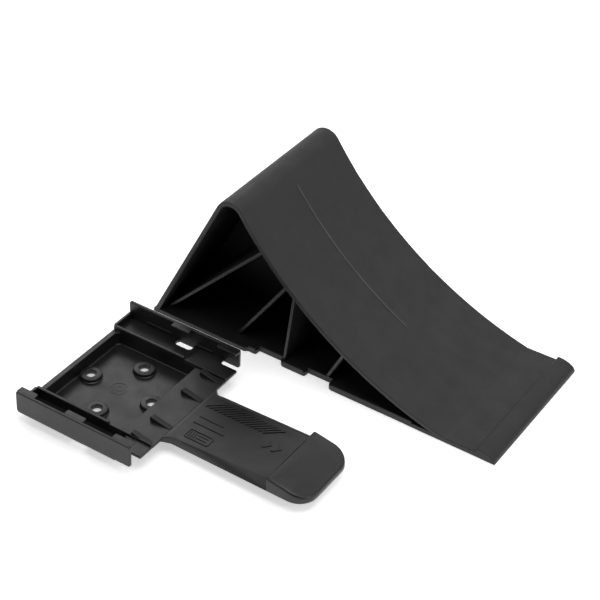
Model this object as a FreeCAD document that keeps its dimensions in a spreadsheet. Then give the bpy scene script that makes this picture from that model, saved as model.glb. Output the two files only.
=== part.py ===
import FreeCAD, Part
import math
import os

import Sketcher
from FreeCAD import Placement, Rotation, Vector

# A wheel chock and the wall or floor holder that it docks into, side by side on a flat surface.
# The chock is one moulding: a curved tread, a rounded crest, a back wall and a base around a
# centre web and slanting ribs. The holder is a shallow screw-down tray with two ledges, two lipped
# guide walls and a springy latch tongue. The mouldings are cut into their walls here, so that
# each wall is one simple solid.
# Frame: origin at the middle of the set's footprint, X from heel to toe, Z up, millimetres.

DIMENSIONS = {
    # The set
    "between_parts": 31,            # clear space between the holder and the chock
    "holder_overhang": 0,           # the holder starts this far left of the chock's heel
    # Chock, side profile
    "chock_length": 350,
    "chock_width": 150,
    "crest_x": 82,                  # centre of the crest's rounding
    "crest_z": 135,
    "crest_radius": 15,
    "tread_radius": 360,            # the wheel's own radius
    "tread_end_x": 303,             # where the curved tread meets the flat toe
    "tread_end_z": 4.8,
    "toe_lip_length": 18,
    "toe_flat_height": 5.2,
    "toe_lip_height": 9,
    "toe_rounding": 8,
    "shell_thickness": 4.4,
    "rib_thickness": 2.8,
    "crest_split": 118,             # the crest piece starts at this height
    "toe_split": 283,               # the solid toe starts here
    # Chock, base outline
    "base_inset": 2.5,
    "inset_start": 100,
    "notch_depth": 6,
    "notch_start": 111,
    "notch_end": 135,
    "notch_spacing": 51,
    "lead_in_radius": 5,
    "bead_width": 3,
    "bead_height": 1.6,
    "bead_end": 262,
    # Holder
    "holder_width": 155,
    "guide_length": 118,
    "guide_thickness": 3,
    "guide_bottom": 12,
    "guide_top": 31,
    "guide_corner": 2,
    "lip_reach": 5.5,
    "lip_thickness": 3,
    "sheet_thickness": 2.6,         # ledges and root plate
    "ledge_top": 13.6,
    "rim_top": 20,                  # the tray walls stand above the ledges, which carry no load
    "plate_top": 16,
    "rim_end": 77,                  # right of this the rims stop, and the ledges lie level with the plate
    "plate_end": 121,
    "plate_start": 89,
    "tray_end": 91.5,
    "slot_width": 7,
    "tray_start": 3.5,
    "tray_half_width": 53,
    "tray_wall": 2.5,
    "tray_floor": 3,
    "bolt_circle": 65,
    "bolt_circle_x": 48.5,
    "screw_hole": 8.6,
    "boss_diameter": 20,
    "boss_height": 4,
    "wedge_width": 5,
    "wedge_height": 4,
    "wall_rib": 1.2,
    # Latch tongue
    "hinge_gap": 0.3,
    "tongue_root_half": 39,
    "tongue_neck_half": 34.8,
    "tongue_tip_half": 33.8,
    "neck_length": 7,
    "neck_radius": 10,
    "latch_step_x": 220,
    "tongue_tip_x": 258,
    "pad_top": 25,
    "pad_tip_top": 15,
    "pad_corner": 16,
    "skirt_bottom": 10,
    "skirt_start": 140,
    "skirt_thickness": 2.4,
}

# Rib centre lines in the side profile: foot, head, and how far the foot stands in from the side.
RIBS = {
    "heel": ((12, 5), (117, 115), 10),
    "middle": ((84, 4), (141, 89), 15),
    "upright": ((137.5, 4), (148, 84), 8),
    "toe": ((180, 4), (202, 48), 11),
}
RIB_OVERSHOOT = 12                  # past both ends, where the shell trims the rib
NEAR_LIPS = ((0, 18), (49, 68.5), (98, 118))
FAR_LIPS = ((49, 68.5), (98, 118))
LEDGE_SLOTS = ((54, 71), (103, 126))
WALL_RIBS = ((20, 47), (73, 91))
# Guide wedges on the root plate: start, end and centre line.
WEDGES = ((100, 120, -25), (100, 120, 17.4), (99, 118, 46), (99, 109, -50))

doc = FreeCAD.newDocument("wheel_chock_and_holder")
sheet = doc.addObject("Spreadsheet::Sheet", "dims")
for row, (alias, number) in enumerate(DIMENSIONS.items(), start=1):
    sheet.set(f"A{row}", alias)
    sheet.set(f"B{row}", str(number))
    sheet.setAlias(f"B{row}", alias)
doc.recompute()

NEAR, FAR = -1, 1
SIDES = {"near": NEAR, "far": FAR}
pieces = []


def amount(formula):
    """The value of a formula of sheet names and numbers, worked from left to right."""
    total, factor, sign, divide = 0.0, 1.0, 1.0, False
    for word in str(formula).split():
        if word in "+-":
            total += sign * factor
            factor, sign = 1.0, -1.0 if word == "-" else 1.0
        elif word in "*/":
            divide = word == "/"
        else:
            number = float(DIMENSIONS.get(word, word))
            factor = factor / number if divide else factor * number
            divide = False
    return total + sign * factor


def bound(formula):
    """The same formula in the form that setExpression takes."""
    words = str(formula).split()
    return " ".join("dims." + word if word in DIMENSIONS else word for word in words)


def times(side, formula):
    """A formula turned to the near (negative) or far side."""
    if side == FAR:
        return formula
    flipped = {"+": "-", "-": "+"}
    return "0 - " + " ".join(flipped.get(word, word) for word in str(formula).split())


def bind(item, **formulas):
    for name, formula in formulas.items():
        item.setExpression(name, bound(formula))


def place(item, x="0", y="0", z="0", rotation=None):
    """Put an object at a place worked out from the sheet."""
    item.Placement = Placement(Vector(amount(x), amount(y), amount(z)), rotation or Rotation())
    for axis, formula in zip("xyz", (x, y, z)):
        item.setExpression("Placement.Base." + axis, bound(formula))


def new(kind, name):
    item = doc.addObject(kind, name)
    item.Label = name
    return item


def box(name, x, y, z):
    """A block between three pairs of formulas."""
    item = new("Part::Box", name)
    bind(item, Length=f"{x[1]} - {flip(x[0])}", Width=f"{y[1]} - {flip(y[0])}",
         Height=f"{z[1]} - {flip(z[0])}")
    place(item, x[0], y[0], z[0])
    return item


def flip(formula):
    """A formula as it reads after a minus sign."""
    flipped = {"+": "-", "-": "+"}
    return " ".join(flipped.get(word, word) for word in str(formula).split())


def boolean(kind, name, base, tool):
    item = new("Part::" + kind, name)
    item.Base, item.Tool = base, tool
    return item


def common(name, base, tool):
    return boolean("Common", name, base, tool)


def cut(name, base, tool):
    return boolean("Cut", name, base, tool)


def group(name, members):
    """Separate solids that share one node."""
    item = new("Part::Compound", name)
    item.Links = members
    return item


def origin_plane(body, role):
    return next(item for item in body.Origin.OriginFeatures if item.Role == role)


def polygon(body, name, role, corners):
    """A closed sketch whose corners are pairs of formulas."""
    sketch = body.newObject("Sketcher::SketchObject", name)
    sketch.AttachmentSupport = (origin_plane(body, role), [""])
    sketch.MapMode = "FlatFace"
    points = [Vector(amount(x), amount(y), 0) for x, y in corners]
    for number, point in enumerate(points):
        sketch.addGeometry(Part.LineSegment(point, points[(number + 1) % len(points)]), False)
    for number, (x, y) in enumerate(corners):
        following = (number + 1) % len(corners)
        sketch.addConstraint(Sketcher.Constraint("Coincident", number, 2, following, 1))
        for kind, formula in (("DistanceX", x), ("DistanceY", y)):
            index = sketch.addConstraint(
                Sketcher.Constraint(kind, -1, 1, number, 1, amount(formula)))
            sketch.setExpression(f"Constraints[{index}]", bound(formula))
    return sketch


def pad(body, sketch, length, midplane=False):
    item = body.newObject("PartDesign::Pad", sketch.Name + "_pad")
    item.Profile = sketch
    bind(item, Length=length)
    item.Midplane = midplane
    doc.recompute()
    return item


def fillet(body, feature, chosen, radius):
    """Round the edges of a feature for which chosen(edge) is true."""
    edges = [f"Edge{number}" for number, edge in enumerate(feature.Shape.Edges, start=1)
             if chosen(edge)]
    item = body.newObject("PartDesign::Fillet", feature.Name + "_fillet")
    item.Base = (feature, edges)
    bind(item, Radius=radius)
    doc.recompute()
    return item


def upright_at(corners):
    """Chooses the vertical edges that stand on the given corners."""
    def chosen(edge):
        first, last = edge.Vertexes[0].Point, edge.Vertexes[-1].Point
        if abs(first.x - last.x) > 1e-6 or abs(first.y - last.y) > 1e-6:
            return False
        return any(math.hypot(first.x - x, first.y - y) < 1e-3 for x, y in corners)
    return chosen


def keep(item, where):
    """Export an object, moved from its own moulding's frame to the set's frame."""
    pieces.append((item, where))


# Places of the two mouldings' own frames: each starts at its left end, on its centre line.
SET_LEFT = "0 - chock_length / 2 - holder_overhang / 2"
CHOCK_PLACE = (SET_LEFT + " + holder_overhang",
               "holder_width / 2 + between_parts / 2")
HOLDER_PLACE = (SET_LEFT, "0 - chock_width / 2 - between_parts / 2")


def tread_centre():
    """Centre of the tread's arc: it touches the crest's arc and ends at the toe."""
    crest = Vector(amount("crest_x"), amount("crest_z"), 0)
    end = Vector(amount("tread_end_x"), amount("tread_end_z"), 0)
    from_crest = amount("tread_radius + crest_radius")
    from_end = amount("tread_radius")
    span = end - crest
    along = (from_crest ** 2 - from_end ** 2 + span.Length ** 2) / (2 * span.Length)
    across = math.sqrt(from_crest ** 2 - along ** 2)
    direction = Vector(span).normalize()
    return crest + direction * along + Vector(-direction.y, direction.x, 0) * across


def heel_tangent():
    """Where the straight back meets the crest's arc."""
    crest = Vector(amount("crest_x"), amount("crest_z"), 0)
    radius = amount("crest_radius")
    turn = math.atan2(crest.y, crest.x) + math.asin(radius / crest.Length)
    return Vector(math.cos(turn), math.sin(turn), 0) * math.sqrt(crest.Length ** 2 - radius ** 2)


def chock_profile():
    """The closed outline of the chock's side, as one sketch on the XZ plane."""
    sketch = new("Sketcher::SketchObject", "chock_profile")
    sketch.Placement = Placement(Vector(), Rotation(Vector(1, 0, 0), 90))
    crest = Vector(amount("crest_x"), amount("crest_z"), 0)
    centre, tangent = tread_centre(), heel_tangent()
    meeting = crest + (centre - crest).normalize() * amount("crest_radius")
    length, flat, lip = amount("chock_length"), amount("toe_flat_height"), amount("toe_lip_height")
    rounding = amount("toe_rounding")
    end = Vector(amount("tread_end_x"), amount("tread_end_z"), 0)
    lip_start = length - amount("toe_lip_length")
    slope = Vector(lip_start + lip - flat, lip, 0)
    top_corner = Vector(length - rounding, lip, 0)
    front_corner = Vector(length, lip - rounding, 0)

    def line(first, last):
        return Part.LineSegment(first, last)

    def arc(middle, radius, first, last):
        start = math.atan2(first.y - middle.y, first.x - middle.x)
        stop = math.atan2(last.y - middle.y, last.x - middle.x)
        return Part.ArcOfCircle(Part.Circle(middle, Vector(0, 0, 1), radius), start, stop)

    round_middle = Vector(length - rounding, lip - rounding, 0)
    parts = [
        line(Vector(), Vector(length, 0, 0)),
        line(Vector(length, 0, 0), front_corner),
        arc(round_middle, rounding, front_corner, top_corner),
        line(top_corner, slope),
        line(slope, Vector(lip_start, flat, 0)),
        line(Vector(lip_start, flat, 0), end),
        arc(centre, amount("tread_radius"), meeting, end),
        arc(crest, amount("crest_radius"), meeting, tangent),
        line(tangent, Vector()),
    ]
    for geometry in parts:
        sketch.addGeometry(geometry, False)
    joins = [(0, 2, 1, 1), (1, 2, 2, 1), (2, 2, 3, 1), (3, 2, 4, 1), (4, 2, 5, 1), (5, 2, 6, 2),
             (6, 1, 7, 1), (7, 2, 8, 1), (8, 2, 0, 1)]
    for first, first_end, second, second_end in joins:
        smooth = (first, second) in ((1, 2), (2, 3), (6, 7), (7, 8))
        kind = "Tangent" if smooth else "Coincident"
        sketch.addConstraint(Sketcher.Constraint(kind, first, first_end, second, second_end))
    sketch.addConstraint(Sketcher.Constraint("Coincident", 0, 1, -1, 1))
    sketch.addConstraint(Sketcher.Constraint("Horizontal", 0))
    sketch.addConstraint(Sketcher.Constraint("Vertical", 1))
    sketch.addConstraint(Sketcher.Constraint("Horizontal", 3))

    def drive(formula, kind, *where):
        index = sketch.addConstraint(Sketcher.Constraint(kind, *where, amount(formula)))
        sketch.setExpression(f"Constraints[{index}]", bound(formula))

    drive("chock_length", "DistanceX", 0, 1, 0, 2)
    drive("toe_lip_height", "DistanceY", -1, 1, 3, 1)
    drive("toe_rounding", "Radius", 2)
    drive("chock_length - toe_lip_length", "DistanceX", -1, 1, 5, 1)
    drive("toe_flat_height", "DistanceY", -1, 1, 5, 1)
    drive("chock_length - toe_lip_length + toe_lip_height - toe_flat_height",
          "DistanceX", -1, 1, 3, 2)
    drive("tread_end_x", "DistanceX", -1, 1, 5, 2)
    drive("tread_end_z", "DistanceY", -1, 1, 5, 2)
    drive("crest_x", "DistanceX", -1, 1, 7, 3)
    drive("crest_z", "DistanceY", -1, 1, 7, 3)
    drive("crest_radius", "Radius", 7)
    drive("tread_radius", "Radius", 6)
    return sketch


def extrude(name, source):
    """A prism across the chock's whole width, centred on its middle."""
    item = new("Part::Extrusion", name)
    item.Base = source
    item.DirMode = "Custom"
    item.Dir = Vector(0, 1, 0)
    item.Solid = True
    item.Symmetric = True
    bind(item, LengthFwd="chock_width")
    return item


def base_outline(outline):
    """The base, with two notches in each side that let the holder's lips through."""
    body = new("PartDesign::Body", "base_plan")
    half = "chock_width / 2"
    inner = "chock_width / 2 - base_inset"
    deep = "chock_width / 2 - base_inset - notch_depth"
    steps = [("0", half), ("inset_start", half), ("inset_start + base_inset", inner),
             ("notch_start", inner), ("notch_start", deep),
             ("notch_end", deep), ("notch_end", inner),
             ("notch_start + notch_spacing", inner), ("notch_start + notch_spacing", deep),
             ("notch_end + notch_spacing", deep), ("notch_end + notch_spacing", inner),
             ("toe_split", inner)]
    corners = steps + [(x, times(NEAR, y)) for x, y in reversed(steps)]
    sketch = polygon(body, "base_sketch", "XY_Plane", corners)
    plate = pad(body, sketch, "shell_thickness")
    lead_ins = [(amount(x), side * amount(inner)) for side in SIDES.values()
                for x in ("notch_end", "notch_end + notch_spacing")]
    fillet(body, plate, upright_at(lead_ins), "lead_in_radius")
    return common("chock_base", outline, body)


def make_chock():
    profile = chock_profile()
    outline = extrude("chock_outline", profile)
    offset = new("Part::Offset2D", "chock_inner_profile")
    offset.Source = profile
    offset.Join = "Intersection"
    bind(offset, Value="0 - shell_thickness")
    core = extrude("chock_core", offset)
    shell = cut("chock_shell", outline, core)
    doc.recompute()

    width = ("0 - chock_width / 2", "chock_width / 2")
    under_crest = ("shell_thickness", "crest_split")
    regions = {
        "chock_tread": (("crest_x", "toe_split"), under_crest),
        "chock_crest": (("0", "chock_length"), ("crest_split", "crest_z + crest_radius")),
        "chock_back_wall": (("0", "crest_x"), under_crest),
    }
    for name, (x, z) in regions.items():
        keep(common(name, shell, box(name + "_region", x, width, z)), CHOCK_PLACE)
    toe = box("chock_toe_region", ("toe_split", "chock_length"), width, ("0", "crest_z"))
    keep(common("chock_toe", outline, toe), CHOCK_PLACE)
    keep(base_outline(outline), CHOCK_PLACE)

    web = box("chock_web_region", ("0", "toe_split"),
              ("0 - rib_thickness / 2", "rib_thickness / 2"), ("0", "crest_z + crest_radius"))
    keep(common("chock_web", core, web), CHOCK_PLACE)
    for label, side in SIDES.items():
        for rib, (foot, head, setback) in RIBS.items():
            keep(chock_rib(f"chock_{label}_{rib}_rib", core, side, foot, head, setback),
                 CHOCK_PLACE)
        keep(edge_bead(f"chock_{label}_edge_bead", side), CHOCK_PLACE)


def chock_rib(name, core, side, foot, head, setback):
    """Half a rib, from the web to the open side, trimmed by the inside of the shell."""
    along = Vector(head[0] - foot[0], 0, head[1] - foot[1])
    length = along.Length + 2 * RIB_OVERSHOOT
    along.normalize()
    outward = Vector(0, side, 0)
    across = outward.cross(along)
    width = "chock_width / 2 - rib_thickness / 2"
    blank = new("Part::Wedge", name + "_blank")
    for low in ("Xmin", "X2min", "Ymin", "Zmin", "Z2min"):
        setattr(blank, low, 0)
    bind(blank, Xmax=f"{width} - {setback}", X2max=width, Ymax=f"{length}",
         Zmax="rib_thickness", Z2max="rib_thickness")
    start = Vector(foot[0], side * amount("rib_thickness / 2"), foot[1]) - along * RIB_OVERSHOOT
    start -= across * amount("rib_thickness / 2")
    blank.Placement = Placement(start, Rotation(outward, along, across, "XYZ"))
    return common(name, core, blank)


def edge_bead(name, side):
    """The raised edge of the base, broken at the notches, as one node of three strips."""
    outer = "chock_width / 2 - base_inset"
    y = [f"{outer} - bead_width", outer]
    if side == NEAR:
        y = [times(NEAR, formula) for formula in reversed(y)]
    z = ("shell_thickness", "shell_thickness + bead_height")
    stretches = (("inset_start + base_inset", "notch_start"),
                 ("notch_end + lead_in_radius", "notch_start + notch_spacing"),
                 ("notch_end + notch_spacing + lead_in_radius", "bead_end"))
    return group(name, [box(f"{name}_{number}", x, y, z)
                        for number, x in enumerate(stretches, start=1)])


def mirrored(y, side):
    """A pair of formulas given for the far side, or its mirror image on the near side."""
    return y if side == FAR else (times(NEAR, y[1]), times(NEAR, y[0]))


def slot_cutter(name, start, end, y, side):
    """An obround through a ledge, half of it under the guide wall so that its inner end is round."""
    body = new("PartDesign::Body", name)
    low, high = mirrored(y, side)
    sketch = polygon(body, name + "_sketch", "XY_Plane",
                     [(str(start), low), (str(end), low), (str(end), high), (str(start), high)])
    block = pad(body, sketch, "rim_top * 2")
    inner = amount(y[0]) * side
    corners = [(start, inner), (end, inner)]
    fillet(body, block, upright_at(corners), "slot_width / 2")
    return body


def make_ledge(label, side):
    """A ledge beside the tray, with a stop at its left end and slots under the lips."""
    inner, outer = "tray_half_width", "holder_width / 2 - guide_thickness"
    y = mirrored((inner, outer), side)
    low = box(f"{label}_ledge_low", ("0", "rim_end"), y,
              ("ledge_top - sheet_thickness", "ledge_top"))
    level = box(f"{label}_ledge_level", ("rim_end", "plate_end"), y,
                ("plate_top - sheet_thickness", "plate_top"))
    riser = box(f"{label}_ledge_riser", ("rim_end", "rim_end + sheet_thickness"), y,
                ("ledge_top - sheet_thickness", "plate_top - sheet_thickness"))
    stop = box(f"{label}_ledge_stop", ("0", "tray_wall"), y, ("ledge_top", "rim_top"))
    whole = new("Part::MultiFuse", f"{label}_ledge_whole")
    whole.Shapes = [low, level, riser, stop]
    whole.Refine = True
    cutters = new("Part::MultiFuse", f"{label}_ledge_slots")
    cutters.Shapes = [slot_cutter(f"{label}_slot_{number}", start, end,
                                  (f"{outer} - slot_width", f"{outer} + slot_width"), side)
                      for number, (start, end) in enumerate(LEDGE_SLOTS, start=1)]
    return cut(f"holder_{label}_ledge", whole, cutters)


def make_guide(label, side):
    """The upright wall that stands outside a ledge."""
    body = new("PartDesign::Body", f"holder_{label}_guide_wall")
    low, high = mirrored(("holder_width / 2 - guide_thickness", "holder_width / 2"), side)
    sketch = polygon(body, f"{label}_guide_sketch", "XY_Plane",
                     [("0", low), ("guide_length", low), ("guide_length", high), ("0", high)])
    wall = pad(body, sketch, "guide_top - guide_bottom")
    outside = side * amount("holder_width / 2")
    fillet(body, wall, upright_at([(0, outside), (amount("guide_length"), outside)]),
           "guide_corner")
    place(body, z="guide_bottom")
    return body


def make_lips(label, side, stretches):
    """The hooks on a guide wall, which hold the chock's base edge down."""
    outer = "holder_width / 2 - guide_thickness"
    y = mirrored((f"{outer} - lip_reach", outer), side)
    return group(f"holder_{label}_guide_lips", [
        box(f"{label}_lip_{number}", (str(start), str(end)), y,
            ("guide_top - lip_thickness", "guide_top"))
        for number, (start, end) in enumerate(stretches, start=1)])


def make_wall_ribs(label, side):
    """Two small ribs along the foot of a guide wall, between its lips."""
    outer = "holder_width / 2 - guide_thickness"
    y = mirrored((f"{outer} - wall_rib", outer), side)
    return group(f"holder_{label}_wall_ribs", [
        box(f"{label}_wall_rib_{number}", (str(start), str(end)), y,
            ("plate_top + wall_rib", "plate_top + wall_rib * 2"))
        for number, (start, end) in enumerate(WALL_RIBS, start=1)])


def screw_positions(name, radius, z, height):
    """Four upright cylinders on the bolt circle: one on each axis of the holder."""
    members = []
    for quarter in range(4):
        turn = math.radians(90 * quarter)
        cylinder = new("Part::Cylinder", f"{name}_{quarter + 1}")
        bind(cylinder, Radius=radius, Height=height)
        step_x, step_y = round(math.cos(turn)), round(math.sin(turn))
        place(cylinder, f"bolt_circle_x + bolt_circle / 2 * {step_x}",
              f"bolt_circle / 2 * {step_y}", z)
        members.append(cylinder)
    return group(name, members)


def make_tray():
    floor = box("tray_floor_blank", ("tray_start + tray_wall", "tray_end"),
                ("tray_wall - tray_half_width", "tray_half_width - tray_wall"),
                ("0", "tray_floor"))
    holes = screw_positions("floor_holes", "screw_hole / 2", "0", "tray_floor * 2")
    yield cut("holder_tray_floor", floor, holes)
    rings = screw_positions("boss_blanks", "boss_diameter / 2", "tray_floor", "boss_height")
    bores = screw_positions("boss_bores", "screw_hole / 2", "0", "tray_floor + boss_height * 2")
    yield cut("holder_screw_bosses", rings, bores)
    inside = ("tray_wall - tray_half_width", "tray_half_width - tray_wall")
    yield box("holder_tray_left_wall", ("tray_start", "tray_start + tray_wall"), inside,
              ("0", "plate_top"))
    yield box("holder_tray_right_wall", ("tray_end", "tray_end + tray_wall"), inside,
              ("0", "plate_top - sheet_thickness"))
    for label, side in SIDES.items():
        y = mirrored(("tray_half_width - tray_wall", "tray_half_width"), side)
        x = ("tray_start", "tray_end + tray_wall")
        full = box(f"{label}_tray_wall_full", x, y, ("0", "rim_top"))
        low_end = box(f"{label}_tray_wall_step", ("rim_end", "plate_end"), y,
                      ("plate_top - sheet_thickness", "rim_top * 2"))
        yield cut(f"holder_tray_{label}_wall", full, low_end)


def make_root_plate():
    """The plate between the tray and the tongue; it fills the width between the ledges."""
    return box("holder_root_plate", ("plate_start", "plate_end"),
               ("0 - tray_half_width", "tray_half_width"),
               ("plate_top - sheet_thickness", "plate_top"))


def make_wedges():
    """Ramps on the root plate that lift the chock's base to the rims' height."""
    members = []
    for number, (start, end, middle) in enumerate(WEDGES, start=1):
        ramp = new("Part::Wedge", f"support_wedge_{number}")
        ramp.Xmin, ramp.Ymin, ramp.X2min, ramp.Zmin = 0, 0, 0, 0
        bind(ramp, Xmax="wedge_height", X2max="wedge_height / 12", Ymax=f"{end} - {start}",
             Zmax="wedge_width", Z2max="wedge_width")
        ramp.Z2min = 0
        up, along, across = Vector(0, 0, 1), Vector(1, 0, 0), Vector(0, 1, 0)
        place(ramp, str(start), f"{middle} - wedge_width / 2", "plate_top",
              Rotation(up, along, across, "XYZ"))
        members.append(ramp)
    return group("holder_support_wedges", members)


def make_holder():
    for item in make_tray():
        keep(item, HOLDER_PLACE)
    keep(make_root_plate(), HOLDER_PLACE)
    keep(make_wedges(), HOLDER_PLACE)
    for (label, side), lips in zip(SIDES.items(), (NEAR_LIPS, FAR_LIPS)):
        keep(make_ledge(label, side), HOLDER_PLACE)
        keep(make_guide(label, side), HOLDER_PLACE)
        keep(make_lips(label, side, lips), HOLDER_PLACE)
        keep(make_wall_ribs(label, side), HOLDER_PLACE)


def make_leaf():
    """The springy tongue: a flared neck, then a plate that tapers to the thumb pad."""
    body = new("PartDesign::Body", "latch_leaf")
    neck_end = "plate_end + hinge_gap + neck_length"
    half_outline = [("plate_end + hinge_gap", "tongue_root_half"),
                    (neck_end, "tongue_neck_half"),
                    ("latch_step_x", "tongue_tip_half")]
    corners = half_outline + [(x, times(NEAR, y)) for x, y in reversed(half_outline)]
    sketch = polygon(body, "leaf_sketch", "XY_Plane", corners)
    leaf = pad(body, sketch, "sheet_thickness")
    necks = [(amount(neck_end), side * amount("tongue_neck_half")) for side in SIDES.values()]
    fillet(body, leaf, upright_at(necks), "neck_radius")
    place(body, z="plate_top - sheet_thickness")
    return body


def make_thumb_pad():
    """The pad at the tongue's tip: its left face is the step that holds the chock's toe."""
    body = new("PartDesign::Body", "latch_thumb_pad")
    side_view = polygon(body, "pad_side_sketch", "XZ_Plane",
                        [("latch_step_x", "skirt_bottom"), ("tongue_tip_x", "skirt_bottom"),
                         ("tongue_tip_x", "pad_tip_top"),
                         ("tongue_tip_x - pad_corner", "pad_top - 1"),
                         ("latch_step_x", "pad_top")])
    block = pad(body, side_view, "tongue_tip_half * 2", midplane=True)

    def tip_corner(edge):
        first, last = edge.Vertexes[0].Point, edge.Vertexes[-1].Point
        tip = amount("tongue_tip_x")
        upright = abs(first.y - last.y) < 1e-6 and abs(first.z - last.z) > 1
        return upright and abs(first.x - tip) < 1e-3 and abs(last.x - tip) < 1e-3

    fillet(body, block, tip_corner, "pad_corner")
    return body


def make_skirt(label, side):
    """The stiffening edge under one side of the tongue, parallel to its taper."""
    body = new("PartDesign::Body", f"latch_{label}_skirt")
    outer_start = "tongue_neck_half - 1"
    outer_end = "tongue_tip_half"
    outline = [("skirt_start", f"{outer_start} - skirt_thickness"), ("skirt_start", outer_start),
               ("latch_step_x", outer_end), ("latch_step_x", f"{outer_end} - skirt_thickness")]
    if side == NEAR:
        outline = [(x, times(NEAR, y)) for x, y in outline]
    sketch = polygon(body, f"{label}_skirt_sketch", "XY_Plane", outline)
    pad(body, sketch, "plate_top - sheet_thickness - skirt_bottom")
    place(body, z="skirt_bottom")
    return body


def make_tongue():
    keep(make_leaf(), HOLDER_PLACE)
    keep(make_thumb_pad(), HOLDER_PLACE)
    for label, side in SIDES.items():
        keep(make_skirt(label, side), HOLDER_PLACE)


def export():
    """Check every object, then write each piece to a file of its own."""
    doc.recompute()
    for item in doc.Objects:
        if "Invalid" in item.State or "Error" in item.State:
            raise RuntimeError(f"{item.Label} did not build")
    os.makedirs("parts", exist_ok=True)
    for item, (x, y) in pieces:
        shape = item.Shape.copy()
        if shape.isNull() or not shape.isValid():
            raise RuntimeError(f"{item.Label} has no valid shape")
        shape.translate(Vector(amount(x), amount(y), 0))
        shape.exportStep(f"parts/{item.Label}.step")
        print(f"{item.Label}: {len(shape.Solids)} solids, {shape.Volume / 1000:.1f} cm3")


make_chock()
make_holder()
make_tongue()
export()
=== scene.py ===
import math

import bmesh
import bpy
from mathutils import Matrix, Vector


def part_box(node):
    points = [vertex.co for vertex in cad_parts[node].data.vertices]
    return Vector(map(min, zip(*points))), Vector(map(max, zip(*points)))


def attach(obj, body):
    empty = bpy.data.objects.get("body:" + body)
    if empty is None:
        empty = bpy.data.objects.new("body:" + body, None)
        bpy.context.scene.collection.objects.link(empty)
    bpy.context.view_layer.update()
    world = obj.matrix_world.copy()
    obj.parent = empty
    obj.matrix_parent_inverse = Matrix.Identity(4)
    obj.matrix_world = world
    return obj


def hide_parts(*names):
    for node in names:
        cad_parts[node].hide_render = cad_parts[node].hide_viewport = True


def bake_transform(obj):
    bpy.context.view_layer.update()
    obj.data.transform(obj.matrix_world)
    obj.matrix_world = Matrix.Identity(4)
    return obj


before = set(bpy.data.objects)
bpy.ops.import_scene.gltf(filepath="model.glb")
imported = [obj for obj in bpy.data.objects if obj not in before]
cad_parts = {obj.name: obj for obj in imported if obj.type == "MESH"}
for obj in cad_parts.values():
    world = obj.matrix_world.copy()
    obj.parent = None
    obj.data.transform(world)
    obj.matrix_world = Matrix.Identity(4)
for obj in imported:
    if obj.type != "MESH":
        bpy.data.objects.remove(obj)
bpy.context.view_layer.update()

# Shapes are drawn in millimetres. Each moulding has its own origin: x from its left end, y from
# its middle and z from the surface that it stands on. The studio and the materials use metres.
MM = 0.001
X, Y, Z = Vector((1, 0, 0)), Vector((0, 1, 0)), Vector((0, 0, 1))


def moulding_origin(end_node, middle_node):
    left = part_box(end_node)[0][0]
    low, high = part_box(middle_node)
    return Vector((left, (low[1] + high[1]) / 2, 0))


CHOCK = moulding_origin("chock_base", "chock_back_wall")
HOLDER = moulding_origin("holder_near_ledge", "holder_root_plate")

# ---------------------------------------------------------------- camera, lights, sky and floor

CAMERA_TARGET = Vector((-0.0767, 0.1105, 0.0))
CAMERA_DISTANCE = 1.5868
CAMERA_AZIMUTH = math.radians(-31.45)
CAMERA_ELEVATION = math.radians(37.10)
CAMERA_ROLL = math.radians(3.12)
CAMERA_LENS = 103.87


# Each light's place and what it aims at, its width and height, and its power in watts.
LIGHTS = {
    "overhead": ((0.3, -0.1, 2.3), (0, 0, 0), (1.5, 1.5), 26),
    "tread_side": ((1.9, 0.2, 1.1), (0, 0.05, 0.05), (1.2, 1.2), 12),
    "back_left": ((-1.95, 1.5, 1.8), (0, 0, 0.05), (1.5, 1.7), 19),
    "back_right": ((0.3, 1.8, 1.5), (0, 0, 0.05), (3.0, 1.6), 16),
    "front": ((-0.9, -1.6, 1.5), (0, -0.1, 0), (1.6, 1.2), 9),
}
# The sky is bright up to the first height of its unit sphere and dim above the second.
SKY_FADE = {"From Min": 0.05, "From Max": 0.25, "To Min": 0.75, "To Max": 0.05}
FLOOR_SIZE, FLOOR_DROP, FLOOR_GLOW = 40, 0.0002, 0.5


def make_camera():
    forward = Vector((math.cos(CAMERA_ELEVATION) * math.sin(CAMERA_AZIMUTH),
                      math.cos(CAMERA_ELEVATION) * math.cos(CAMERA_AZIMUTH),
                      -math.sin(CAMERA_ELEVATION)))
    level = Vector((math.cos(CAMERA_AZIMUTH), -math.sin(CAMERA_AZIMUTH), 0))
    upright = level.cross(forward)
    right = math.cos(CAMERA_ROLL) * level + math.sin(CAMERA_ROLL) * upright
    up = math.cos(CAMERA_ROLL) * upright - math.sin(CAMERA_ROLL) * level
    data = bpy.data.cameras.new("camera")
    data.lens = CAMERA_LENS
    data.clip_end = 20
    camera = bpy.data.objects.new("camera", data)
    turn = Matrix((right, up, -forward)).transposed()
    camera.matrix_world = (Matrix.Translation(CAMERA_TARGET - forward * CAMERA_DISTANCE)
                           @ turn.to_4x4())
    bpy.context.scene.collection.objects.link(camera)
    bpy.context.scene.camera = camera


def make_light(name, place, aim, size, power):
    data = bpy.data.lights.new(name, "AREA")
    data.shape = "RECTANGLE"
    data.size, data.size_y = size
    data.energy = power
    light = bpy.data.objects.new(name, data)
    light.location = place
    light.rotation_euler = (Vector(aim) - Vector(place)).to_track_quat("-Z", "Y").to_euler()
    bpy.context.scene.collection.objects.link(light)


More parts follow.
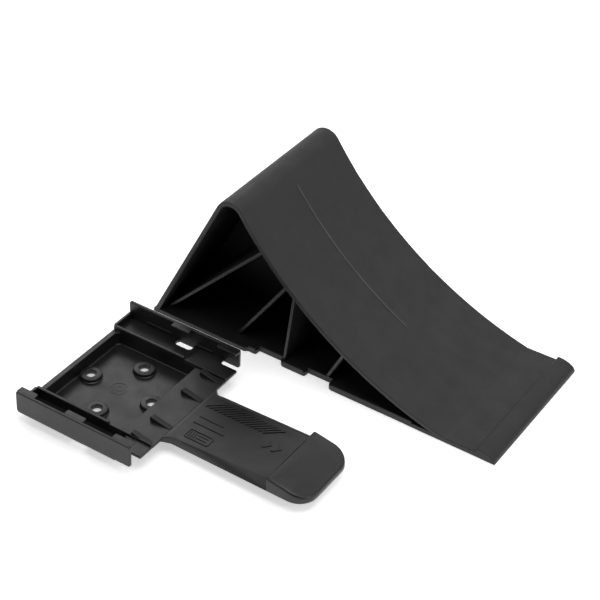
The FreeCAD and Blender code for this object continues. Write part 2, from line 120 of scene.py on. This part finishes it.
def make_sky():
    world = bpy.data.worlds.new("studio")
    world.use_nodes = True
    tree = world.node_tree
    background = tree.nodes["Background"]
    background.inputs["Color"].default_value = (1, 1, 1, 1)
    split = tree.nodes.new("ShaderNodeSeparateXYZ")
    tree.links.new(tree.nodes.new("ShaderNodeTexCoord").outputs["Generated"], split.inputs[0])
    fade = tree.nodes.new("ShaderNodeMapRange")
    for socket, value in SKY_FADE.items():
        fade.inputs[socket].default_value = value
    tree.links.new(split.outputs["Z"], fade.inputs["Value"])
    tree.links.new(fade.outputs["Result"], background.inputs["Strength"])
    bpy.context.scene.world = world
    bpy.context.scene.view_settings.view_transform = "Standard"


def make_floor():
    bpy.ops.mesh.primitive_plane_add(size=FLOOR_SIZE, location=(0, 0, -FLOOR_DROP))
    floor = bpy.context.object
    floor.name = "floor"
    material = bpy.data.materials.new("floor_white")
    material.use_nodes = True
    shader = material.node_tree.nodes["Principled BSDF"]
    shader.inputs["Base Color"].default_value = (0.9, 0.9, 0.9, 1)
    shader.inputs["Roughness"].default_value = 0.9
    shader.inputs["Emission Color"].default_value = (1, 1, 1, 1)
    shader.inputs["Emission Strength"].default_value = FLOOR_GLOW
    floor.data.materials.append(material)


# ---------------------------------------------------------------- materials

def plastic(name, colour, wear_and_highlight_tone, roughness, grain):
    """Moulded plastic: fine grain, faint flow marks and a slightly uneven gloss.

    Noise scales are in features per metre, and bump distances are in metres.
    """
    material = bpy.data.materials.new(name)
    material.use_nodes = True
    tree = material.node_tree
    shader = tree.nodes["Principled BSDF"]
    shader.inputs["Specular IOR Level"].default_value = 0.5
    place = tree.nodes.new("ShaderNodeTexCoord").outputs["Object"]

    def noise(scale, detail, rough=0.5, stretch=None):
        node = tree.nodes.new("ShaderNodeTexNoise")
        node.inputs["Scale"].default_value = scale
        node.inputs["Detail"].default_value = detail
        node.inputs["Roughness"].default_value = rough
        source = place
        if stretch:
            mapping = tree.nodes.new("ShaderNodeMapping")
            mapping.inputs["Scale"].default_value = stretch
            tree.links.new(place, mapping.inputs["Vector"])
            source = mapping.outputs["Vector"]
        tree.links.new(source, node.inputs["Vector"])
        return node.outputs["Fac"]

    def spread(value, low, high, to_low, to_high):
        node = tree.nodes.new("ShaderNodeMapRange")
        for index, number in enumerate((low, high, to_low, to_high), start=1):
            node.inputs[index].default_value = number
        tree.links.new(value, node.inputs[0])
        return node.outputs[0]

    def mix(factor, first, second):
        node = tree.nodes.new("ShaderNodeMix")
        node.data_type = "RGBA"
        for socket, value in zip((6, 7), (first, second)):
            if isinstance(value, tuple):
                node.inputs[socket].default_value = (*value, 1)
            else:
                tree.links.new(value, node.inputs[socket])
        tree.links.new(factor, node.inputs[0])
        return node.outputs[2]

    cloud = noise(26, 3, 0.6)
    flow = noise(18, 4, 0.55, stretch=(1, 5, 1))
    speck = noise(900, 2)
    tone = mix(spread(cloud, 0.35, 0.7, 0, 1), colour, tuple(c * 1.35 for c in colour))
    tone = mix(spread(flow, 0.62, 0.78, 0, 0.5), tone, wear_and_highlight_tone)
    tone = mix(spread(speck, 0.6, 0.75, 0, 0.35), tone, wear_and_highlight_tone)
    tree.links.new(tone, shader.inputs["Base Color"])
    tree.links.new(spread(noise(60, 4, 0.6), 0.3, 0.7, roughness - 0.06, roughness + 0.08),
                   shader.inputs["Roughness"])

    def bump(strength, distance, height, target):
        node = tree.nodes.new("ShaderNodeBump")
        node.inputs["Strength"].default_value = strength
        node.inputs["Distance"].default_value = distance
        tree.links.new(height, node.inputs["Height"])
        tree.links.new(node.outputs["Normal"], target)
        return node

    waves = bump(0.25, 0.0012, noise(34, 2), shader.inputs["Normal"])
    bump(grain, 0.00018, noise(1500, 3, 0.6), waves.inputs["Normal"])
    return material


MATERIALS = {
    "chock_plastic": plastic("chock_plastic_moulded", (0.0068, 0.0067, 0.0066),
                             (0.021, 0.0205, 0.020), 0.5, 0.3),
    "holder_plastic": plastic("holder_plastic_moulded", (0.0060, 0.0059, 0.0058),
                              (0.019, 0.0185, 0.018), 0.38, 0.2),
    # The tread's parting line gets a lighter plastic: a painted highlight for the light that the
    # raised line catches from the front.
    "painted_highlight_line": plastic("chock_plastic_painted_highlight", (0.05, 0.05, 0.048),
                            (0.1, 0.1, 0.096), 0.5, 0.2),
}

# ---------------------------------------------------------------- mesh helpers

WELD_DISTANCE = 1e-4
SHARP_ANGLE = math.radians(35)


def arc(centre, radius, start, end, steps):
    """Points on an arc, from one angle to another, in degrees."""
    turns = [math.radians(start + (end - start) * i / steps) for i in range(steps + 1)]
    return [(centre[0] + radius * math.cos(a), centre[1] + radius * math.sin(a)) for a in turns]


def rounded(corners, steps=6):
    """A polygon of (x, y, radius) corners, each rounded to its radius."""
    points = []
    for index, (x, y, radius) in enumerate(corners):
        here = Vector((x, y))
        back = (Vector(corners[index - 1][:2]) - here).normalized()
        ahead = (Vector(corners[(index + 1) % len(corners)][:2]) - here).normalized()
        if radius <= 0:
            points.append((x, y))
            continue
        half = back.angle(ahead) / 2
        middle = here + (back + ahead).normalized() * radius / math.sin(half)
        first = here + back * radius / math.tan(half) - middle
        last = here + ahead * radius / math.tan(half) - middle
        start = math.atan2(first.y, first.x)
        sweep = (math.atan2(last.y, last.x) - start + math.pi) % (2 * math.pi) - math.pi
        for step in range(steps + 1):
            turn = start + sweep * step / steps
            points.append((middle.x + radius * math.cos(turn), middle.y + radius * math.sin(turn)))
    return points


def rectangle(x0, x1, y0, y1, radius=0.0):
    return rounded([(x0, y0, radius), (x1, y0, radius), (x1, y1, radius), (x0, y1, radius)])


def mesh_of(build):
    """A mesh from a function that fills a bmesh, in millimetres."""
    data = bpy.data.meshes.new("mesh")
    work = bmesh.new()
    build(work)
    work.to_mesh(data)
    work.free()
    return data


def welded(data):
    """The mesh with its double points merged and its faces turned outwards."""
    def build(work):
        work.from_mesh(data)
        bmesh.ops.remove_doubles(work, verts=work.verts, dist=WELD_DISTANCE)
        bmesh.ops.recalc_face_normals(work, faces=work.faces)
    return mesh_of(build)


def slab(outline, low, high, bevel=0.6, holes=(), u=X, v=Y):
    """A plate with rounded edges: outline lies along u and v, and low and high are along u x v."""
    curve = bpy.data.curves.new("slab", "CURVE")
    curve.dimensions = "2D"
    curve.fill_mode = "BOTH"
    curve.bevel_mode = "ROUND"
    curve.bevel_depth = bevel
    curve.bevel_resolution = 2
    curve.offset = -bevel
    curve.extrude = (high - low) / 2 - bevel
    for loop in (outline, *holes):
        spline = curve.splines.new("POLY")
        spline.points.add(len(loop) - 1)
        for point, (x, y) in zip(spline.points, loop):
            point.co = (x, y, 0, 1)
        spline.use_cyclic_u = True
    holder = bpy.data.objects.new("slab", curve)
    bpy.context.scene.collection.objects.link(holder)
    bpy.context.view_layer.update()
    data = bpy.data.meshes.new_from_object(holder.evaluated_get(
        bpy.context.evaluated_depsgraph_get()))
    bpy.data.objects.remove(holder)
    w = u.cross(v)
    turn = Matrix((u, v, w)).transposed().to_4x4()
    data.transform(turn @ Matrix.Translation((0, 0, (low + high) / 2)))
    return welded(data)


def upright_slab(outline, low, high, bevel=0.6, holes=()):
    """A plate whose outline is in x and z, from y = low to y = high."""
    return slab(outline, -high, -low, bevel, holes, u=X, v=Z)


def loft(rings, caps=True):
    """A skin over closed rings of the same number of 3-D points."""
    def build(work):
        rows = [[work.verts.new(p) for p in ring] for ring in rings]
        count = len(rows[0])
        for one, two in zip(rows, rows[1:]):
            for i in range(count):
                j = (i + 1) % count
                work.faces.new((one[i], one[j], two[j], two[i]))
        if caps:
            work.faces.new(rows[0])
            work.faces.new(rows[-1])
        bmesh.ops.recalc_face_normals(work, faces=work.faces)
    return mesh_of(build)


def lathe(profile, centre, steps=48):
    """A closed profile of (radius, z) turned about an upright line."""
    rings = []
    for step in range(steps + 1):
        turn = 2 * math.pi * step / steps
        rings.append([(centre[0] + r * math.cos(turn), centre[1] + r * math.sin(turn), z)
                      for r, z in profile])
    return welded(loft(rings, caps=False))


def mirror_y(data):
    copy = data.copy()
    copy.transform(Matrix.Diagonal((1, -1, 1, 1)))
    copy.flip_normals()
    return copy


def piece(name, body, slot, meshes, nodes=(), blend=None, curved=False, finish=None):
    """Joins meshes, in one moulding's millimetres, into one named piece that rides on a body.

    A blend is two points, which are not used: a piece given one does not bend and is left in place,
    riding on no body.
    """
    def gather(work):
        for data in meshes:
            work.from_mesh(data)
    data = mesh_of(gather)
    data.name = name
    origin = CHOCK if body == "chock" else HOLDER
    data.transform(Matrix.Translation(origin) @ Matrix.Diagonal((MM, MM, MM, 1)))
    data.shade_smooth()
    data.set_sharp_from_angle(angle=SHARP_ANGLE)
    data.materials.append(MATERIALS[finish or slot])
    item = bpy.data.objects.new(name, data)
    bpy.context.scene.collection.objects.link(item)
    if not curved:
        item.modifiers.new("flat_faces_stay_flat", "WEIGHTED_NORMAL").keep_sharp = True
    if blend:
        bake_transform(item)
    else:
        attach(item, body)
    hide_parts(*nodes)
    return item


def chock_piece(name, meshes, *nodes):
    return piece(name, "chock", "chock_plastic", meshes, nodes)


def holder_piece(name, meshes, *nodes):
    return piece(name, "holder", "holder_plastic", meshes, nodes)


def tongue_piece(name, meshes, *nodes):
    return piece(name, "latch_tongue", "holder_plastic", meshes, nodes)


# ---------------------------------------------------------------- the chock

CREST, CREST_RADIUS, CREST_STEPS = Vector((82, 135)), 15, 20
TREAD_END, TREAD_RADIUS, TREAD_STEPS = Vector((303, 4.8)), 360, 90
TOE_START, TOE_TOP, TOE_FOOT, TOE_STEPS = 333, 9, 0.4, 10
CHOCK_LENGTH = 350
SHELL, SHELL_EDGE, RIB = 4.4, 0.9, 2.8
CHOCK_HALF, BASE_HALF = 75, 72.5
HEEL_HALF, TOE_HALF = CHOCK_HALF - 0.3, CHOCK_HALF - 0.1
# The base is narrow up to its second notch and almost as wide as the tread beyond it.
WIDE_HALF = 74.6
NOTCH_HALF = BASE_HALF - 6
# Each notch's start and end, and the base's half width before and after it.
NOTCHES = ((111, 135, BASE_HALF, BASE_HALF), (162, 186, BASE_HALF, WIDE_HALF))
# Each raised edge's start and end, and how far out it lies.
BEADS = ((102.5, 109.5, BASE_HALF), (139, 160, BASE_HALF), (190, 270, WIDE_HALF),
         (110, 136, NOTCH_HALF), (161, 187, NOTCH_HALF))
BEAD_WIDTH, BEAD_TOP = 3, 6
# The base lies this much above the shell's underside, so that no two faces share one plane.
BASE_LIFT = 0.03
# Ribs and the web start inside the base plate and end inside the tread's shell.
INTO_BASE, INTO_TREAD = 2, 2.2
# Shallow dips in the tread where the ribs join it from behind.
SINK_MARKS, SINK_DEPTH, SINK_WIDTH = (116, 145, 199), 0.22, 2.6
PARTING_START, PARTING_LENGTH, PARTING_STEPS = 100, 119, 40
# Each rib's foot and head, and how far in from the tread's edge its own edge starts.
RIBS = {
    "heel": ((12, 5), (117, 115), 10),
    "middle": ((84, 4), (141, 89), 15),
    "upright": ((137.5, 4), (148, 84), 8),
    "toe": ((180, 4), (202, 48), 11),
}
# A rib's edge is a straight line that runs on this far past its foot and its head.
RIB_OVERSHOOT = 12


def tread_centre():
    """The wheel's centre: one radius from the tread's foot, both radii from the crest's centre."""
    near, far = TREAD_RADIUS, TREAD_RADIUS + CREST_RADIUS
    line = TREAD_END - CREST
    gap = line.length
    along = (far ** 2 - near ** 2 + gap ** 2) / (2 * gap)
    out = math.sqrt(far ** 2 - along ** 2)
    line.normalize()
    return CREST + line * along + Vector((-line.y, line.x)) * out


WHEEL = tread_centre()


def side_path(inset, sinks=False):
    """The chock's side outline from heel to tread's foot, moved into the plastic by inset."""
    reach = CREST.length
    slope = math.atan2(CREST.y, CREST.x) + math.asin(CREST_RADIUS / reach)
    foot = (inset / math.sin(slope), 0)
    crest_start = math.degrees(slope) + 90
    to_wheel = WHEEL - CREST
    crest_end = math.degrees(math.atan2(to_wheel.y, to_wheel.x))
    points = [foot] + arc(CREST, CREST_RADIUS - inset, crest_start, crest_end, CREST_STEPS)
    radius = TREAD_RADIUS + inset
    start = crest_end + 180
    drop = WHEEL.y - (TREAD_END.y if inset == 0 else INTO_TREAD)
    end = 180 + math.degrees(math.asin(drop / radius))
    for x, z in arc(WHEEL, radius, start, end, TREAD_STEPS)[1:]:
        marks = SINK_MARKS if sinks else ()
        dip = sum(SINK_DEPTH * math.exp(-((x - mark) / SINK_WIDTH) ** 2) for mark in marks)
        out = (Vector((x, z)) - WHEEL).normalized()
        points.append((x + out.x * dip, z + out.y * dip))
    return points


def chock_shell():
    """The back wall, crest and tread in one bent sheet, and the solid toe with its raised lip."""
    outer = side_path(0, sinks=True)
    inner = side_path(SHELL)
    quarter = [math.radians(90 * step / TOE_STEPS) for step in range(TOE_STEPS + 1)]
    toe = [(TOE_START - 1.4, 5.3), (TOE_START - 0.7, 8.4)]
    toe += [(TOE_START + (CHOCK_LENGTH - TOE_START) * math.sin(a),
             TOE_FOOT + (TOE_TOP - TOE_FOOT) * math.cos(a)) for a in quarter]
    toe.append((CHOCK_LENGTH, 0))
    under = [(inner[-1][0], 0)]
    outline = outer + toe + under + inner[::-1]
    return upright_slab(outline, -CHOCK_HALF, CHOCK_HALF, SHELL_EDGE)


def base_outline():
    """The base's outline, with corners of (x, y, radius)."""
    side = [(1, HEEL_HALF, 0), (100, HEEL_HALF, 0), (102.5, BASE_HALF, 0)]
    for start, end, half_before, half_after in NOTCHES:
        side += [(start, half_before, 2.4), (start, NOTCH_HALF, 0.8),
                 (end, NOTCH_HALF, 1.5), (end, half_after, 5)]
    side += [(262, WIDE_HALF, 0), (281, TOE_HALF, 0), (320, TOE_HALF, 0)]
    return rounded([(x, -y, r) for x, y, r in side] + side[::-1])


def chock_web():
    """The upright sheet along the middle, between the back wall, the tread and the base."""
    ring = side_path(SHELL - 1.5)
    ring[0] = (ring[0][0] + 1.2, INTO_BASE)
    return upright_slab(ring, -RIB / 2, RIB / 2, 0.2)


def rib_panel(foot, head, setback):
    """A slanting rib across the chock, from inside the base to where it meets the tread's shell."""
    foot, head = Vector(foot), Vector(head)
    along = (head - foot).normalized()
    length = (head - foot).length
    start = (INTO_BASE - foot.y) / along.y
    from_wheel = foot - WHEEL
    reach = TREAD_RADIUS + INTO_TREAD
    approach = from_wheel.dot(along)
    end = -approach - math.sqrt(approach ** 2 - from_wheel.dot(from_wheel) + reach ** 2)

    def out(distance):
        share = (distance + RIB_OVERSHOOT) / (length + 2 * RIB_OVERSHOOT)
        return CHOCK_HALF - setback * (1 - share)
    outline = [(start, -out(start)), (end, -out(end) + 1), (end, out(end) - 1), (start, out(start))]
    u = Vector((along.x, 0, along.y))
    data = slab(outline, -RIB / 2, RIB / 2, 0.5, u=u, v=Y)
    data.transform(Matrix.Translation((foot.x, 0, foot.y)))
    return data


def edge_beads(side):
    return [slab(rectangle(x0, x1, *sorted((side * (half - BEAD_WIDTH), side * half))),
                 SHELL - 1, BEAD_TOP, 0.5) for x0, x1, half in BEADS]


def tread_bead():
    """The low parting line down the middle of the tread."""
    rings = []
    for step in range(PARTING_STEPS + 1):
        x = PARTING_START + PARTING_LENGTH * step / PARTING_STEPS
        z = WHEEL.y - math.sqrt(TREAD_RADIUS ** 2 - (x - WHEEL.x) ** 2)
        out = (WHEEL - Vector((x, z))).normalized()
        rings.append([(x + out.x * h, y, z + out.y * h)
                      for y, h in ((-1.0, -0.3), (-0.4, 0.55), (0.4, 0.55), (1.0, -0.3))])
    return loft(rings)


def make_chock():
    chock_piece("chock_shell", [chock_shell()],
                "chock_tread", "chock_crest", "chock_back_wall", "chock_toe")
    chock_piece("chock_base_plate", [slab(base_outline(), BASE_LIFT, SHELL, 0.6)], "chock_base")
    chock_piece("chock_centre_web", [chock_web()], "chock_web")
    for name, (foot, head, setback) in RIBS.items():
        chock_piece(f"chock_{name}_rib_panel", [rib_panel(foot, head, setback)],
                    f"chock_near_{name}_rib", f"chock_far_{name}_rib")
    for label, side in (("near", -1), ("far", 1)):
        chock_piece(f"chock_{label}_base_beads", edge_beads(side), f"chock_{label}_edge_bead")
    # The parting line's lighter plastic is a painted highlight.
    piece("chock_tread_parting_line", "chock", "chock_plastic", [tread_bead()],
          finish="painted_highlight_line")


# ---------------------------------------------------------------- the holder

PLATE_TOP, PLATE_END, SHEET = 16, 121, 2.6
RIM_TOP, RIM_END = 20, 77
TRAY_START, TRAY_END, TRAY_HALF = 1, 94, 53
POCKET_START, POCKET_END, POCKET_HALF, POCKET_RADIUS = 6, 91.5, 50.5, 4.5
FLOOR_TOP, FLOOR_FILLET = 3, 1.3
# Four screws on one circle about a centre on the holder's middle line.
BOLT_X, BOLT_R, BOSS_HOLE = 48.5, 32.5, 7.4
WALL_IN, WALL_OUT = 74.5, 77.5
GUIDE_LENGTH, GUIDE_TOP = 118, 31
LEDGE_IN, LEDGE_OUT = 52.7, 76
# Past its step the ledge reaches out only as far as the inner side of its slot.
LEDGE_STEP, SLOT_IN = 103, 67.5
# Each side's low ledge end, low ledge top and guide wall bottom.
LEDGE_SHAPES = {-1: (99, 10.5, 10.2), 1: (RIM_END, 13.6, 12)}
# The starts and ends of the lips along each side's guide wall.
LIPS = {-1: ((0, 18), (49, 68.5), (98, 118)), 1: ((49, 68.5), (98, 118))}
LIP_IN, LIP_DEPTH = 69, 3
WALL_RIBS = ((20, 47), (73, 91))
# Each wedge's start, end and middle line.
WEDGES = ((100, 120, -25), (100, 120, 17.4), (99, 118, 46), (99, 118, -49.3))


def pocket_ring(inset, z):
    """The pocket's outline, a rounded rectangle, moved inwards by inset."""
    radius = max(POCKET_RADIUS - inset, 1)
    x0, x1, half = POCKET_START + inset, POCKET_END - inset, POCKET_HALF - inset
    corners = [(x0, -half, radius), (x1, -half, radius), (x1, half, radius), (x0, half, radius)]
    return [(x, y, z) for x, y in rounded(corners)]


def tray_walls():
    """The walls around the pocket, with a high rim along each side and a low one beyond it."""
    outer = rectangle(TRAY_START, TRAY_END, -TRAY_HALF, TRAY_HALF, 2.5)
    inner = [(x, y) for x, y, z in pocket_ring(0, 0)]
    ring = slab(outer, 0, PLATE_TOP - 0.3, 0.6, holes=[inner])
    rim = slab(rectangle(1.2, RIM_END, 50.3, 53.2, 0.6), 9.7, RIM_TOP, 0.7)
    low_rim = slab(rectangle(76, PLATE_END - 0.4, 50.7, 52.8, 0.5), 14.5, PLATE_TOP + 2, 0.5)
    return [ring, rim, mirror_y(rim), low_rim, mirror_y(low_rim)]


def tray_floor():
    outer = [(x, y) for x, y, z in pocket_ring(-1, 0)]
    holes = [arc(spot, BOSS_HOLE, 0, 345, 23) for spot in bolt_spots()]
    return slab(outer, 0, FLOOR_TOP, 0.3, holes=holes)


def pocket_fillet():
    """The rounded corner between the pocket's walls and its floor."""
    rings = []
    for step in range(5):
        turn = math.radians(90 * step / 4)
        rings.append(pocket_ring(FLOOR_FILLET * (1 - math.cos(turn)) - 0.05,
                                 FLOOR_TOP + FLOOR_FILLET * (1 - math.sin(turn))))
    return loft(rings, caps=False)


def bolt_spots():
    turns = [math.radians(90 * quarter) for quarter in range(4)]
    return [(BOLT_X + BOLT_R * math.cos(a), BOLT_R * math.sin(a)) for a in turns]


def screw_boss(spot):
    """A boss with a screw hole and a rounded collar at its foot, as (radius, z) around its axis."""
    profile = [(4.3, 2.6), (4.3, 6.2), (4.6, 6.7), (5.0, 7), (8.6, 6.9), (9.3, 6.5), (9.5, 6),
               (9.6, 3.9), (10.2, 3.6), (10.4, 3.2), (10.4, 2.2), (7.6, 2.2), (7.3, 2.6)]
    return lathe(profile, spot)


def moulding_mark(x, y):
    """The dial that a mould leaves: two rings and plain ticks."""
    low, high = FLOOR_TOP - 0.2, FLOOR_TOP + 0.2
    parts = [lathe([(r, low), (r, high), (r + 0.6, high), (r + 0.6, low)], (x, y))
             for r in (2.6, 7.4)]
    for tick in range(12):
        turn = math.radians(30 * tick)
        u = Vector((math.cos(turn), math.sin(turn), 0))
        bar = slab(rectangle(4.4, 6.2, -0.25, 0.25), low, FLOOR_TOP + 0.15, 0.06,
                   u=u, v=Z.cross(u))
        bar.transform(Matrix.Translation((x, y, 0)))
        parts.append(bar)
    return parts


def ledge(low_end, low_top):
    """A ledge drawn at the far side: a low part, a step up, and a part level with the plate."""
    slot = rounded([(54, SLOT_IN, 3.4), (71, SLOT_IN, 3.4), (71, 75.2, 3), (54, 75.2, 3)])
    low = slab(rectangle(0, low_end + 2, LEDGE_IN - 0.1, LEDGE_OUT, 0.5), low_top - SHEET,
               low_top, 0.6, holes=[slot])
    collar = slab(rounded([(52.2, SLOT_IN - 1.8, 4.6), (72.8, SLOT_IN - 1.8, 4.6),
                           (72.8, LEDGE_OUT, 1), (52.2, LEDGE_OUT, 1)]),
                  low_top - 1, low_top + 0.6, 0.3, holes=[slot])
    level = slab(rounded([(low_end, LEDGE_IN - 1.5, 0.5), (low_end, LEDGE_OUT, 0.5),
                          (LEDGE_STEP, LEDGE_OUT, 0), (LEDGE_STEP, SLOT_IN, 3.4),
                          (PLATE_END, SLOT_IN, 1), (PLATE_END, LEDGE_IN - 1.5, 0)]),
                 PLATE_TOP - SHEET, PLATE_TOP, 0.6)
    riser = slab(rectangle(low_end, low_end + SHEET, LEDGE_IN, LEDGE_OUT - 0.2),
                 low_top - SHEET + 0.3, PLATE_TOP - 0.5, 0.3)
    stop = slab(rectangle(0, 2.5, LEDGE_IN, LEDGE_OUT, 0.6), low_top - 1, RIM_TOP - 0.1, 0.5)
    return [low, collar, level, riser, stop]


def root_plate():
    outline = rectangle(90, PLATE_END + 0.1, -51.4, 51.4, 0.5)
    return slab(outline, PLATE_TOP - SHEET, PLATE_TOP, 0.5)


def guide_wall(low):
    outline = rounded([(0, low, 2), (GUIDE_LENGTH, low, 2),
                       (GUIDE_LENGTH, GUIDE_TOP, 2), (0, GUIDE_TOP, 2)])
    return upright_slab(outline, WALL_IN, WALL_OUT, 0.9)


def lip(start, end):
    outline = rounded([(start, WALL_IN + 1, 0), (start, LIP_IN, 1.6), (end, LIP_IN, 1.6),
                       (end, WALL_IN + 1, 0)])
    return slab(outline, GUIDE_TOP - LIP_DEPTH, GUIDE_TOP, 0.7)


def wall_ribs():
    return [slab(rectangle(x0, x1, WALL_IN - 1.2, WALL_IN + 0.5), PLATE_TOP + 1.2,
                 PLATE_TOP + 2.4, 0.4) for x0, x1 in WALL_RIBS]


def wedge(start, end, middle):
    """A rib on the plate, as high as the rim at its start and falling towards the tongue."""
    outline = [(start, PLATE_TOP - 1), (end, PLATE_TOP - 1), (end, PLATE_TOP + 0.5),
               (end - 3, PLATE_TOP + 0.9), (start + 2, RIM_TOP), (start, RIM_TOP)]
    return upright_slab(outline, middle - 2.5, middle + 2.5, 0.45)


def make_holder():
    holder_piece("holder_tray_walls", tray_walls(), "holder_tray_left_wall",
                 "holder_tray_right_wall", "holder_tray_near_wall", "holder_tray_far_wall")
    holder_piece("holder_pocket_floor", [tray_floor(), pocket_fillet()], "holder_tray_floor")
    holder_piece("holder_bosses", [screw_boss(spot) for spot in bolt_spots()],
                 "holder_screw_bosses")
    holder_piece("holder_moulding_mark", moulding_mark(BOLT_X - 3, 1.3))
    holder_piece("holder_plate", [root_plate()], "holder_root_plate")
    holder_piece("holder_wedges", [wedge(*place) for place in WEDGES], "holder_support_wedges")
    for label, side in (("near", -1), ("far", 1)):
        def sided(meshes, side=side):
            return meshes if side > 0 else [mirror_y(data) for data in meshes]
        low_end, low_top, wall_low = LEDGE_SHAPES[side]
        holder_piece(f"holder_{label}_ledge_sheet", sided(ledge(low_end, low_top)),
                     f"holder_{label}_ledge")
        holder_piece(f"holder_{label}_guide", sided([guide_wall(wall_low)]),
                     f"holder_{label}_guide_wall")
        holder_piece(f"holder_{label}_hooks", sided([lip(*ends) for ends in LIPS[side]]),
                     f"holder_{label}_guide_lips")
        holder_piece(f"holder_{label}_foot_ribs", sided(wall_ribs()), f"holder_{label}_wall_ribs")


# ---------------------------------------------------------------- the latch tongue

ROOT_HALF, NECK_HALF, TIP_HALF = 39, 34.8, 35.3
NECK_END, STEP_X, TIP_X = 129, 220, 258
# The pad's height at its step and at its tip, how far its sides fall, and its edge's radius.
PAD_TOP, PAD_TIP, PAD_FALL, PAD_EDGE = 25, 15, 2.0, 2.0
SKIRT_LOW = 10
# The skirts' slope at the neck, how much wider the near one gets towards the pad, and the far
# one's extra slope, which fades out there.
SLOPE, NEAR_WIDENING, FAR_SLOPE = 0.8, 5.2, 2.0
BORDER_RISE = 0.8


def ease(value):
    value = min(max(value, 0), 1)
    return value * value * (3 - 2 * value)


def tongue_half(x):
    """Half the tongue's width: a hollow flare at the root, then a straight taper."""
    taper = NECK_HALF + (TIP_HALF - NECK_HALF) * (x - NECK_END) / (STEP_X - NECK_END)
    root = max(0.0, (NECK_END - x) / (NECK_END - PLATE_END))
    return taper + (ROOT_HALF - NECK_HALF) * root ** 2.4


def leaf_section(x):
    """The leaf across its width at x: a sheet between two hollow skirts with raised borders."""
    half = tongue_half(x)
    grown = ease((x - PLATE_END + 4) / 8)
    widening = max(0, x - NECK_END) / (STEP_X - NECK_END)
    below = PLATE_TOP - SHEET
    low = below - (below - SKIRT_LOW) * grown
    level = PLATE_TOP - 0.2 * (1 - ease((x - PLATE_END) / 2))
    rim = level + BORDER_RISE * ease((x - PLATE_END - 1) / 12)

    def side(slope):
        over = [(0, low), (0.25, low + 0.9), (slope * 0.5, (low + level) / 2 + 1.0),
                (slope, rim - 0.5), (slope + 0.6, rim), (slope + 1.4, rim),
                (slope + 2.3, level), (half * 0.5, level)]
        under = [(half * 0.5, below), (slope + 2.2, below), (2.2, low)]
        return [(half - d, z) for d, z in over], [(half - d, z) for d, z in under]
    near_over, near_under = side(SLOPE + NEAR_WIDENING * widening)
    far_over, far_under = side(SLOPE + FAR_SLOPE * grown * (1 - widening))
    ring = [(-y, z) for y, z in near_over] + far_over[::-1] + far_under[::-1]
    ring += [(-y, z) for y, z in near_under]
    return [(x, y, z) for y, z in ring]


def leaf():
    stations = [119.5 + 0.75 * i for i in range(40)] + [150 + 6 * i for i in range(12)] + [221]
    return loft([leaf_section(x) for x in stations])


def edge_drop(inset):
    """How far the pad's rounded edge has dropped, at a distance in from it."""
    if inset >= PAD_EDGE:
        return 0
    return PAD_EDGE - math.sqrt(PAD_EDGE ** 2 - (PAD_EDGE - inset) ** 2)


def pad_ring(inset):
    """A ring on the pad's crowned top, moved in by inset, with its edge rounded down."""
    tip, step = max(17 - inset, 0.5), max(2 - inset, 0.3)
    x0, x1, half = STEP_X + inset, TIP_X - inset, TIP_HALF - inset
    plan = rounded([(x0, -half, step), (x1, -half, tip), (x1, half, tip), (x0, half, step)], 10)
    ring = []
    for x, y in plan:
        share = (x - STEP_X) / (TIP_X - STEP_X)
        crown = PAD_TOP - (PAD_TOP - PAD_TIP) * share ** 1.9 - PAD_FALL * (y / TIP_HALF) ** 2
        ring.append((x, y, max(crown - edge_drop(inset), SKIRT_LOW + 1)))
    return ring


def thumb_pad():
    insets = [0, 0.1, 0.35, 0.8, 1.4, 2.0] + [3 + 1.25 * i for i in range(12)]
    foot = [(x, y, SKIRT_LOW) for x, y, z in pad_ring(0)]
    return loft([foot] + [pad_ring(inset) for inset in insets])


def mark(outline, height, holes=(), u=X, v=Y):
    """A low raised mark on the tongue's top."""
    return slab(outline, PLATE_TOP - 0.3, PLATE_TOP + height, 0.2, holes, u, v)


def hatching():
    """A band of short slanting ribs along the tongue's far side."""
    bars = []
    lean = Vector((0.766, 0.643, 0))
    for index in range(14):
        bar = mark(rectangle(-9.6, 9.6, -0.8, 0.8), 0.9, u=lean, v=Z.cross(lean))
        bar.transform(Matrix.Translation((133.5 + index * 4.4, 20.6, 0)))
        bars.append(bar)
    return bars


def plain_frame():
    """A framed field of plain bars, and two bars beside it."""
    outer, inner = rectangle(133, 157, -26.5, -15, 2), rectangle(134.2, 155.8, -25.3, -16.2, 1)
    field = mark(outer, 0.7, [inner])
    bars = [mark(rectangle(130, end, y, y + 1), 0.7) for end, y in ((160, -8), (154, 0.5))]
    filling = [mark(rectangle(x, x + 1, -24, -17.5), 0.6) for x in (135.5, 138, 140.5)]
    filling += [mark(rectangle(143, 153, y, y + 1), 0.6) for y in (-23, -19.5)]
    return [field] + bars + filling


def chevrons():
    """Two marks before the step that point at the pad."""
    return [mark([(x, 0), (x + 5, 6), (x, 12), (x + 2, 12), (x + 7, 6), (x + 2, 0)], 0.7)
            for x in (192, 201)]


def make_tongue():
    piece("latch_leaf_sheet", "latch_tongue", "holder_plastic", [leaf()],
          ("latch_leaf", "latch_near_skirt", "latch_far_skirt"),
          blend=((PLATE_END - 1, 0, PLATE_TOP), (NECK_END - 2, 0, PLATE_TOP)))
    piece("latch_pad", "latch_tongue", "holder_plastic", [thumb_pad()], ["latch_thumb_pad"],
          curved=True)
    tongue_piece("latch_relief_marks", hatching() + plain_frame() + chevrons())


make_camera()
for light_name, (place, aim, size, power) in LIGHTS.items():
    make_light(light_name, place, aim, size, power)
make_sky()
make_floor()
make_chock()
make_holder()
make_tongue()
